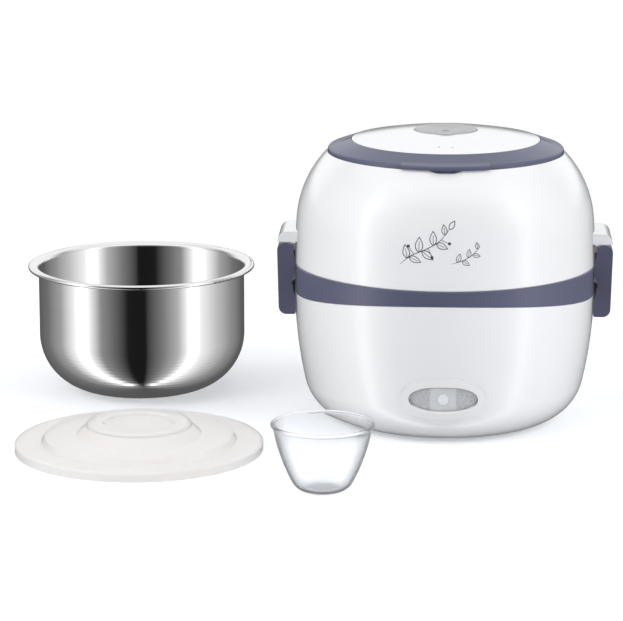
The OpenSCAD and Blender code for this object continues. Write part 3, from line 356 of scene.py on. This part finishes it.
MATERIAL_OF = {
    "base_shell": WHITE, "seam_band": VIOLET, "inner_rim": WHITE, "steam_pot": STEEL,
    "heater_plate": ALUMINIUM, "heater_bracket": STEEL, "bracket_screws": SCREW,
    "thermal_cutout": BLACK, "thermal_fuse": SLEEVE, "power_switch": BLACK,
    "switch_bezel": WHITE, "power_inlet": BLACK, "inlet_pins": BRASS, "inlet_screws": SCREW,
    "bottom_cover": WHITE, "cover_screws": SCREW, "foot_ring": RUBBER, "switch_button": SILVER,
    "switch_plunger": BLACK, "indicator_lens": LENS, "indicator_lamp": LAMP, "lid_shell": WHITE,
    "top_disc": WHITE, "rear_trim": VIOLET, "lid_liner": LINER, "liner_screws": SCREW,
    "lid_seal": SILICONE, "latch_pins": SCREW, "handle_pins": SCREW, "handle": VIOLET,
    "vent_plug": PLUG, "latch_left": LATCH, "latch_right": LATCH, "bowl": MIRROR,
    "bowl_lid": MILKY, "measuring_cup": CLEAR,
}

for name, node in NODES.items():
    node.data.materials.clear()
    node.data.materials.append(MATERIAL_OF[name])

# ---------------------------------------------------------------- shape helpers

SHARP_FROM = math.radians(32)
BEVEL_STEPS = 3


def arc(centre, radius, start, end, steps):
    """Points on an arc between two angles in degrees, both ends included."""
    angles = [math.radians(start + (end - start) * i / steps) for i in range(steps + 1)]
    return [(centre[0] + radius * math.cos(a), centre[1] + radius * math.sin(a)) for a in angles]


def make_piece(name, mesh, material, bevel=0.0):
    """A smooth object from a bmesh, with sharp edges kept and softened by a small bevel."""
    bmesh.ops.recalc_face_normals(mesh, faces=mesh.faces)
    data = bpy.data.meshes.new(name)
    mesh.to_mesh(data)
    mesh.free()
    data.polygons.foreach_set("use_smooth", [True] * len(data.polygons))
    data.set_sharp_from_angle(angle=SHARP_FROM)
    piece = bpy.data.objects.new(name, data)
    scene.collection.objects.link(piece)
    data.materials.append(material)
    if bevel:
        soft = piece.modifiers.new("soft edges", "BEVEL")
        soft.width = bevel
        soft.segments = BEVEL_STEPS
        soft.limit_method = "ANGLE"
        soft.angle_limit = SHARP_FROM
        soft.harden_normals = True
    return piece


# ---------------------------------------------------------------- latches

# In millimetres from the latch's pin: x outward from the body, z up; angles in degrees
KNUCKLE_R = 4.4
KNUCKLE_SQUARE = 0.4
KNUCKLE_STEPS = 14
POCKET_R = 3.3
POCKET_FROM, POCKET_TO = 50, -50
LATCH_LEAN = 0.8
LATCH_BEVEL = 0.45
TIP_R = 4.4
TIP_CORNER_R = 1.2
CHEEK_W = 6.0
WALL_T = 2.6
# The neck under the knuckle, and how far it stands toward the body's wall
NECK_Z = -4.0
NECK_SHARE = 0.6
# The finger hollow in each cheek
HOLLOW_TOP, HOLLOW_LOW, HOLLOW_DEEP = -11.4, -27.0, 2.1
HOLLOW_ROUND = 1.2
HOLLOW_STEPS = 12
# The pocket's back face, and the hook under it
FACE_TOP = -4.5
FACE_LEAN = 0.6
HOOK_X = -3.0
HOOK_TOP = -24.5
HOOK_EDGE = 1.0
HOOK_RISE = 1.5


def latch_outer(tip_z):
    """From the middle of the tip up the outer face to where the pocket opens in the knuckle."""
    tip_x = KNUCKLE_R - LATCH_LEAN - TIP_R
    tip = arc((tip_x, tip_z + TIP_R), TIP_R, -90, 0, steps=10)
    return tip + arc((0, 0), KNUCKLE_R, 0, POCKET_FROM, steps=6)


def cheek_inner(pin_x, y, tip_z):
    """From the pocket over the knuckle and down beside the body, at y from the latch's middle."""
    knuckle = []
    for i in range(1, KNUCKLE_STEPS + 1):
        angle = math.radians(POCKET_FROM + (180 - POCKET_FROM) * i / KNUCKLE_STEPS)
        square = math.sin(2 * angle) ** 2 if angle > math.pi / 2 else 0
        reach = KNUCKLE_R + KNUCKLE_SQUARE * square
        knuckle.append((reach * math.cos(angle), reach * math.sin(angle)))
    wall_x = math.sqrt((pin_x - KNUCKLE_R) ** 2 - y ** 2) - pin_x
    neck = (wall_x * NECK_SHARE - KNUCKLE_R * (1 - NECK_SHARE), NECK_Z)
    hollow = []
    for i in range(HOLLOW_STEPS + 1):
        share = i / HOLLOW_STEPS
        depth = HOLLOW_DEEP * math.sin(math.pi * share) ** HOLLOW_ROUND
        hollow.append((wall_x + depth, HOLLOW_TOP + (HOLLOW_LOW - HOLLOW_TOP) * share))
    corner = arc(
        (wall_x + TIP_CORNER_R, tip_z + TIP_CORNER_R), TIP_CORNER_R, 180, 270, steps=5)
    return knuckle + [neck] + hollow + corner


def pocket_inner(tip_z):
    """The same way round through the pocket between the cheeks, down to the hook."""
    face = KNUCKLE_R - WALL_T
    return arc((0, 0), POCKET_R, POCKET_FROM, POCKET_TO, steps=8) + [
        (face, FACE_TOP), (face - LATCH_LEAN * FACE_LEAN, HOOK_TOP + HOOK_RISE),
        (HOOK_X + HOOK_EDGE, HOOK_TOP), (HOOK_X, HOOK_TOP - HOOK_EDGE),
        (HOOK_X, tip_z + HOOK_EDGE), (HOOK_X + HOOK_EDGE, tip_z)]


def make_latch(side, node, body, joint):
    """A latch in the photograph's outline: full cheeks at both ends, and a pocket between them."""
    low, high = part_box(node)
    pin = JOINTS[joint]["pos_m"]
    pin_x, pin_z = abs(pin[0]) / MM, pin[2] / MM
    tip_z = low[2] / MM - pin_z
    half = (high[1] - low[1]) / MM / 2
    mesh = bmesh.new()

    def row(points, y):
        return [
            mesh.verts.new((side * (pin_x + x) * MM, y * MM, (pin_z + z) * MM))
            for x, z in points]

    def strip(first, second):
        for i in range(len(first)):
            j = (i + 1) % len(first)
            mesh.faces.new((first[i], first[j], second[j], second[i]))

    outer, pocket = latch_outer(tip_z), pocket_inner(tip_z)
    middles = []
    for sign in (-1, 1):
        end = row(outer + cheek_inner(pin_x, half, tip_z), sign * half)
        shared = row(outer, sign * (half - CHEEK_W))
        cheek = row(cheek_inner(pin_x, half - CHEEK_W, tip_z), sign * (half - CHEEK_W))
        inside = row(pocket, sign * (half - CHEEK_W))
        mesh.faces.new(end)
        strip(end, shared + cheek)
        mesh.faces.new([shared[-1]] + cheek + [shared[0]] + inside[::-1])
        middles.append(shared + inside)
    strip(*middles)
    latch = make_piece(node + "_moulding", mesh, LATCH, LATCH_BEVEL * MM)
    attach(latch, body)
    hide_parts(node)


make_latch(-1, "latch_left", "left_latch", "left_latch_swing")
make_latch(1, "latch_right", "right_latch", "right_latch_swing")

# ---------------------------------------------------------------- measuring cup

# The section, in millimetres and degrees
CUP_FOOT_R = 8.2
CUP_CORNER_R = 8.7
CUP_LEAN = 28
CUP_WALL = 1.1
CUP_BEAD_R = 1.0
CUP_BEAD_FROM = -75
CUP_SIDES = 96


def cup_side(rim, inset):
    """The foot's corner and the side, one arc into the next, moved inward by the inset."""
    lean = math.radians(CUP_LEAN)
    start = Vector((
        CUP_FOOT_R + CUP_CORNER_R * math.cos(lean), CUP_CORNER_R * (1 - math.sin(lean))))
    chord = rim - start
    radius = chord.length / (2 * math.sin(lean - math.atan2(chord.x, chord.y)))
    centre = start - radius * Vector((math.cos(lean), -math.sin(lean)))
    last = math.degrees(math.atan2(rim.y - centre.y, rim.x - centre.x))
    corner = arc((CUP_FOOT_R, CUP_CORNER_R), CUP_CORNER_R - inset, -90, -CUP_LEAN, steps=10)
    return corner + arc(centre, radius - inset, -CUP_LEAN, last, steps=12)[1:]


def make_cup():
    """The cup turned about its axis, from the foot up the outside and down the inside."""
    low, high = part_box("measuring_cup")
    middle = [(a + b) / 2 for a, b in zip(low, high)]
    rim = Vector((
        (high[0] - low[0]) / MM / 2 - CUP_BEAD_R, (high[2] - low[2]) / MM - CUP_BEAD_R))
    bead = arc(rim, CUP_BEAD_R, CUP_BEAD_FROM, 180, steps=14)
    section = cup_side(rim, 0)[:-1] + bead + cup_side(rim, CUP_WALL)[-2::-1]
    mesh = bmesh.new()
    rows = []
    for i in range(CUP_SIDES):
        turn = math.tau * i / CUP_SIDES
        row = []
        for r, z in section:
            x = middle[0] + r * MM * math.cos(turn)
            y = middle[1] + r * MM * math.sin(turn)
            row.append(mesh.verts.new((x, y, low[2] + z * MM)))
        rows.append(row)
    for i, row in enumerate(rows):
        after = rows[(i + 1) % CUP_SIDES]
        for j in range(len(section) - 1):
            mesh.faces.new((row[j], after[j], after[j + 1], row[j + 1]))
    # The foot's underside and the floor inside
    mesh.faces.new([row[0] for row in rows])
    mesh.faces.new([row[-1] for row in rows])
    cup = make_piece("cup_moulding", mesh, CLEAR)
    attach(cup, "cup")
    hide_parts("measuring_cup")


make_cup()

# ---------------------------------------------------------------- print on the lid

# In millimetres, x to the right and z up, as seen from the front
PRINT_AT = (-9.0, 112.5)
PRINT_LIFT = 0.03
INK_T = 1.5 * PRINT_LIFT
LINE_W = 0.42
# Shares of the line's width at a tapered line's ends, and gained toward its middle
TAPER_END, TAPER_GAIN = 0.35, 0.65
# Where the rays toward the lid's front start, in metres
RAY_FROM_Y = -0.2

CURVE_STEPS = 14
LEAF_STEPS = 16
LEAF_ROUND = 0.8
VEIN_AT = (0.0, 0.25, 0.5, 0.72)
DOT_SIDES = 16
FINE_W = 0.7 * LINE_W

SPRIG_STEM = ((-15, -9.5), (-9, -4.5), (-1.5, -1), (6, 3.5), (11.5, 10))
# Point on the stem, turn from it in degrees, length, width
SPRIG_LEAVES = (
    (10, 62, 7.4, 3.6), (12, -58, 6.8, 3.2), (22, 66, 8.2, 4.0), (25, -62, 7.6, 3.6),
    (36, 60, 7.6, 3.6), (39, -60, 6.6, 3.2), (49, 48, 5.6, 2.8))
# Direction in degrees, length, width
TIP_LEAF = (58, 5.2, 2.6)
# Point on the stem, turn from it in degrees, length of the stalk
BERRIES = ((17, 100, 5.2), (31, -95, 5.4), (44, -70, 5.0))
BERRY_R = 0.85
STALK_AT = (0, 0.35, 0.7, 1.0)

TWIG_STEM = ((13, -8.5), (18.5, -6.8), (24, -3.6), (28, 1.0))
TWIG_LEAVES = (
    (8, 55, 5.0, 2.5), (14, -58, 4.6, 2.3), (22, 52, 4.6, 2.3), (28, -56, 4.2, 2.1),
    (36, 46, 3.8, 1.9))
TWIG_W = 0.8 * LINE_W
TWIG_VEIN_W = 0.6 * LINE_W


def curve_points(points):
    """A smooth curve through the points, as a list of points."""
    ends = [points[0]] + list(points) + [points[-1]]
    out = []
    for i in range(1, len(ends) - 2):
        a, b, c, d = (Vector(p) for p in ends[i - 1:i + 3])
        for k in range(CURVE_STEPS):
            t = k / CURVE_STEPS
            out.append(0.5 * (2 * b + (c - a) * t + (2 * a - 5 * b + 4 * c - d) * t * t
                              + (3 * b - a - 3 * c + d) * t ** 3))
    out.append(Vector(points[-1]))
    return out


def heading(stem, at, turn):
    """The stem's direction at one of its points, turned by some degrees, as an angle."""
    ahead = stem[at + 2] - stem[at]
    return math.atan2(ahead.y, ahead.x) + math.radians(turn)


def leaf_outline(root, angle, length, width):
    """A pointed leaf from its root, with its middle vein."""
    along = Vector((math.cos(angle), math.sin(angle)))
    across = Vector((-along.y, along.x))
    out = [i / LEAF_STEPS for i in range(LEAF_STEPS + 1)]
    edge = []
    for side, shares in ((1, out), (-1, out[::-1])):
        for t in shares:
            belly = math.sin(math.pi * t ** LEAF_ROUND)
            edge.append(root + along * length * t + across * side * width / 2 * belly)
    vein = [root + along * length * t for t in VEIN_AT]
    return edge, vein


class Print:
    """Thin ink lines and dots laid on the lid's front, seen from the front."""

    def __init__(self):
        lid = NODES["lid_shell"].data
        corners = [v.co.copy() for v in lid.vertices]
        self.tree = BVHTree.FromPolygons(corners, [tuple(f.vertices) for f in lid.polygons])
        self.mesh = bmesh.new()

    def on_lid(self, point):
        """A new corner just off the lid's surface."""
        x, z = (PRINT_AT[0] + point[0]) * MM, (PRINT_AT[1] + point[1]) * MM
        spot = self.tree.ray_cast(Vector((x, RAY_FROM_Y, z)), Vector((0, 1, 0)))[0]
        radial = Vector((spot.x, spot.y, 0)).normalized()
        return self.mesh.verts.new(spot + radial * PRINT_LIFT * MM)

    def strip(self, points, width=LINE_W, taper=False):
        """A line of some width through the points."""
        rows = []
        for i, point in enumerate(points):
            ahead = points[min(i + 1, len(points) - 1)] - points[max(i - 1, 0)]
            side = Vector((-ahead.y, ahead.x)).normalized()
            share = 1.0
            if taper:
                share = TAPER_END + TAPER_GAIN * math.sin(math.pi * (i + 0.5) / len(points))
            half = side * width / 2 * share
            rows.append((self.on_lid(point + half), self.on_lid(point - half)))
        for (a, b), (c, d) in zip(rows, rows[1:]):
            self.mesh.faces.new((a, b, d, c))

    def leaves(self, stem, leaves, width, vein_width):
        for at, turn, length, leaf_width in leaves:
            edge, vein = leaf_outline(stem[at], heading(stem, at, turn), length, leaf_width)
            self.strip(edge, width)
            self.strip(vein, vein_width)

    def dot(self, centre, radius):
        turns = [i * math.tau / DOT_SIDES for i in range(DOT_SIDES)]
        self.mesh.faces.new([
            self.on_lid((centre[0] + radius * math.cos(a), centre[1] + radius * math.sin(a)))
            for a in turns])

    def finish(self, name):
        """The print as an object, with the ink's thickness."""
        data = bpy.data.meshes.new(name)
        self.mesh.normal_update()
        self.mesh.to_mesh(data)
        self.mesh.free()
        piece = bpy.data.objects.new(name, data)
        scene.collection.objects.link(piece)
        piece.data.materials.append(INK)
        skin = piece.modifiers.new("thickness", "SOLIDIFY")
        skin.thickness = INK_T * MM
        skin.offset = 0
        return piece


def make_sprig():
    """A leafy sprig with berries on short stalks, and a small twig to the right of it."""
    ink = Print()
    stem = curve_points(SPRIG_STEM)
    ink.strip(stem, taper=True)
    ink.leaves(stem, SPRIG_LEAVES, LINE_W, FINE_W)
    direction, length, width = TIP_LEAF
    tip_leaf, _ = leaf_outline(stem[-1], math.radians(direction), length, width)
    ink.strip(tip_leaf)
    for at, turn, reach in BERRIES:
        angle = heading(stem, at, turn)
        here = stem[at]
        end = here + Vector((math.cos(angle), math.sin(angle))) * reach
        ink.strip([here + (end - here) * t for t in STALK_AT], FINE_W)
        ink.dot(end, BERRY_R)
    twig = curve_points(TWIG_STEM)
    ink.strip(twig, TWIG_W, taper=True)
    ink.leaves(twig, TWIG_LEAVES, TWIG_W, TWIG_VEIN_W)
    sprig = ink.finish("printed_sprig")
    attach(sprig, "lid")


make_sprig()

# ---------------------------------------------------------------- floor, world and lamps

# Metres and shares. Past the near floor, which holds the shadow, comes the white backdrop
FLOOR_HALF = 6.0
FLOOR_NEAR, FLOOR_FAR = 0.3, 0.8
FLOOR_TONE = (0.92, 0.935, 0.96, 1)
FLOOR_SHEEN = (0.9, 0.93, 1.0, 1)
SHEEN_ROUGH = 0.12
SHEEN_SHARE = 0.10
NEAR_GLOW = 0.22

# Studio as seen in reflections: (angle from the front, + to the right, grey)
STUDIO = [
    (-180, 0.10), (-151, 0.12), (-125, 0.18), (-97, 0.40), (-74, 1.1), (-65, 2.3), (-56, 1.1),
    (-41, 0.30), (-28, 0.17), (-10, 0.012), (10, 0.010), (11.5, 0.05), (29, 0.22), (46, 0.5),
    (56, 1.0), (65, 1.9), (74, 1.05), (98, 0.6), (122, 0.32), (155, 0.12), (180, 0.10),
]
DAYLIGHT = (0.50, 0.51, 0.525, 1)
# Where the white backdrop, its lower edge and the white ceiling begin and are full in reflections,
# as the parts of a ray's direction that point to the back and up
BACKDROP = (0.3, 0.8)
HORIZON = (0.0, 0.15)
CEILING = (0.5, 0.85)

# Name, place, aim, width and height in metres, watts
LAMPS = (
    ("key", (-1.5, -1.2, 1.7), (-0.05, 0, 0.08), (1.4, 1.4), 16.5),
    ("fill", (1.7, -0.9, 1.3), (0, 0, 0.08), (1.4, 1.4), 15),
    ("top", (0, 0.3, 2.2), (-0.05, 0, 0), (1.8, 1.8), 6),
    ("left", (-2.0, 0.15, 0.8), (0, 0, 0.08), (1.0, 1.2), 9),
    ("right", (2.0, 0.15, 0.8), (0, 0, 0.08), (1.0, 1.2), 7),
)


def make_floor():
    """A pale floor with the object's shadow, which runs into a plain white backdrop."""
    mesh = bpy.data.meshes.new("floor")
    mesh.from_pydata(
        [(-FLOOR_HALF, -FLOOR_HALF, 0), (FLOOR_HALF, -FLOOR_HALF, 0),
         (FLOOR_HALF, FLOOR_HALF, 0), (-FLOOR_HALF, FLOOR_HALF, 0)],
        [], [(0, 1, 2, 3)])
    floor = bpy.data.objects.new("floor", mesh)
    scene.collection.objects.link(floor)
    material, tree, shader = new_material("floor")
    tree.nodes.remove(shader)
    diffuse = add(tree, "ShaderNodeBsdfDiffuse", Color=FLOOR_TONE)
    gloss = add(tree, "ShaderNodeBsdfGlossy", Color=FLOOR_SHEEN, Roughness=SHEEN_ROUGH)
    surface = mix_shader(tree, SHEEN_SHARE, diffuse.outputs[0], gloss.outputs[0])
    seen = seen_plainly(tree, add(tree, "ShaderNodeLightPath"))
    glow = add(tree, "ShaderNodeEmission", Color=PURE_WHITE)
    put(tree, glow.inputs["Strength"], math_node(tree, "MULTIPLY", seen, NEAR_GLOW))
    near = add(tree, "ShaderNodeAddShader")
    put(tree, near.inputs[0], surface)
    put(tree, near.inputs[1], glow.outputs[0])
    white = add(tree, "ShaderNodeEmission", Color=PURE_WHITE, Strength=1.0)
    coordinates = add(tree, "ShaderNodeTexCoord")
    reach = add(tree, "ShaderNodeVectorMath", operation="LENGTH")
    put(tree, reach.inputs[0], coordinates.outputs["Object"])
    far = smooth_step(tree, reach.outputs["Value"], FLOOR_NEAR, FLOOR_FAR)
    backdrop = math_node(tree, "MULTIPLY", seen, far)
    total = mix_shader(tree, backdrop, near.outputs[0], white.outputs[0])
    put(tree, tree.nodes["Material Output"].inputs["Surface"], total)
    floor.data.materials.append(material)


def make_world():
    """White to the camera, the studio to glossy rays, and even daylight to all the others."""
    world = bpy.data.worlds.new("studio")
    scene.world = world
    world.use_nodes = True
    tree = world.node_tree
    coordinates = add(tree, "ShaderNodeTexCoord")
    split = add(tree, "ShaderNodeSeparateXYZ")
    put(tree, split.inputs[0], coordinates.outputs["Generated"])
    x, y, z = split.outputs
    turn = math_node(tree, "ARCTAN2", x, math_node(tree, "MULTIPLY", y, -1.0))
    share = math_node(tree, "MULTIPLY_ADD", turn, 1 / math.tau, 0.5)
    sides = ramp(tree, share, [(angle / 360 + 0.5, grey) for angle, grey in STUDIO])
    behind = smooth_step(tree, y, *BACKDROP)
    low = smooth_step(tree, z, *HORIZON)
    over = smooth_step(tree, z, *CEILING)
    pale = math_node(tree, "MAXIMUM", math_node(tree, "MULTIPLY", behind, low), over)
    reflected = mix_colour(tree, pale, sides, PURE_WHITE)
    path = add(tree, "ShaderNodeLightPath")
    lit = mix_colour(tree, path.outputs["Is Glossy Ray"], DAYLIGHT, reflected)
    shown = mix_colour(tree, seen_plainly(tree, path), lit, PURE_WHITE)
    put(tree, tree.nodes["Background"].inputs["Color"], shown)


def softbox(name, at, aim, size, power):
    data = bpy.data.lights.new(name, "AREA")
    data.shape = "RECTANGLE"
    data.size, data.size_y = size
    data.energy = power
    lamp = bpy.data.objects.new(name, data)
    scene.collection.objects.link(lamp)
    lamp.location = at
    lamp.rotation_euler = (Vector(aim) - Vector(at)).to_track_quat("-Z", "Y").to_euler()
    lamp.visible_camera = False
    lamp.visible_glossy = False


make_floor()
make_world()
for lamp in LAMPS:
    softbox(*lamp)

# The photograph's pieces were taken one by one, so neither they nor the floor show in reflections
for piece in scene.objects:
    if piece.type == "MESH":
        piece.visible_glossy = False
